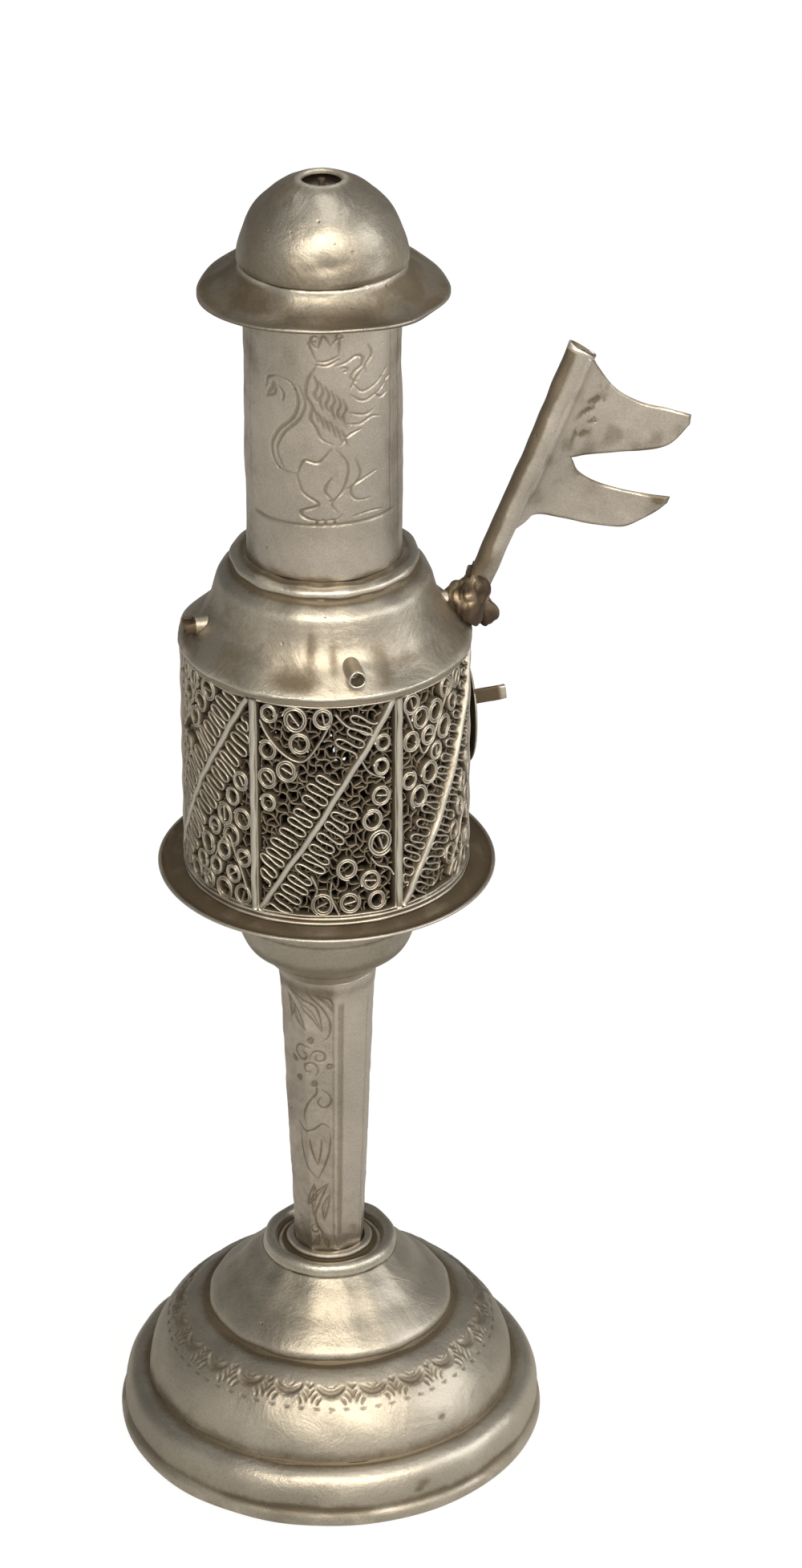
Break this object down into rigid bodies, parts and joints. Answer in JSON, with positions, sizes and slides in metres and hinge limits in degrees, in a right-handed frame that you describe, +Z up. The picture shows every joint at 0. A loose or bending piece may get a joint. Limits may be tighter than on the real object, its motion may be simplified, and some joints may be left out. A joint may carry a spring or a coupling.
{
  "type": "filigree spice tower",
  "caption": "Tall silver filigree spice tower: stepped round foot, tapered stem, openwork chamber with a hinged door, bell roof, tower with a hat, and a swallow-tailed pennant.",
  "frame": {"origin": "on the tower's axis, in the plane that the foot stands on", "axes": "+Z up along the tower's axis; -Y is the front, which the front flag socket faces within 12 degrees; the pennant leans towards +X"},
  "size_m": [0.0954, 0.0728, 0.2293],
  "materials": {
    "silver": "aged satin silver, warm grey",
    "worn_silver": "worn bright silver straps",
    "filigree_silver": "tarnished silver ribbon with bright edges",
    "dark_silver": "brown tarnished silver",
    "solder": "rough oxidised solder"
  },
  "bodies": {
    "spice_tower": {"foot_shell": "silver", "foot_edge_wire": "dark_silver", "stem_socket": "dark_silver", "stem_collar": "silver", "stem": "silver", "calyx": "silver", "tie_rod": "dark_silver", "foot_washer": "dark_silver", "foot_nut": "dark_silver", "chamber_washer": "dark_silver", "chamber_nut": "dark_silver", "tray": "dark_silver", "chamber_base_ring": "silver", "chamber_top_ring": "silver", "post_1": "worn_silver", "post_2": "worn_silver", "post_3": "worn_silver", "post_4": "worn_silver", "post_5": "worn_silver", "post_6": "worn_silver", "filigree_panel_1": "filigree_silver", "filigree_panel_2": "filigree_silver", "filigree_panel_3": "filigree_silver", "filigree_panel_4": "filigree_silver", "filigree_panel_5": "filigree_silver", "filigree_panel_6": "filigree_silver", "diagonal_strap_1": "worn_silver", "diagonal_strap_2": "worn_silver", "diagonal_strap_3": "worn_silver", "diagonal_strap_4": "worn_silver", "diagonal_strap_5": "worn_silver", "diagonal_strap_6": "worn_silver", "door_frame": "filigree_silver", "post_knuckles": "silver", "hinge_pin": "worn_silver", "roof": "silver", "socket_front": "dark_silver", "socket_right": "dark_silver", "socket_back": "dark_silver", "socket_left": "dark_silver", "socket_solder": "solder", "flag_solder": "solder", "flag": "silver", "tower": "silver", "cap_brim": "silver", "cap_dome": "silver", "finial_seat": "dark_silver", "finial_stub": "solder"},
    "door": {"door_plate": "silver", "door_knuckle": "silver", "door_pull": "silver"}
  },
  "joints": [
    {"name": "door_hinge", "type": "hinge", "parent": "spice_tower", "child": "door", "pos_m": [0.0123, 0.0213, 0.13265], "axis": [0, 0, 1], "range_deg": [0, 110]}
  ]
}
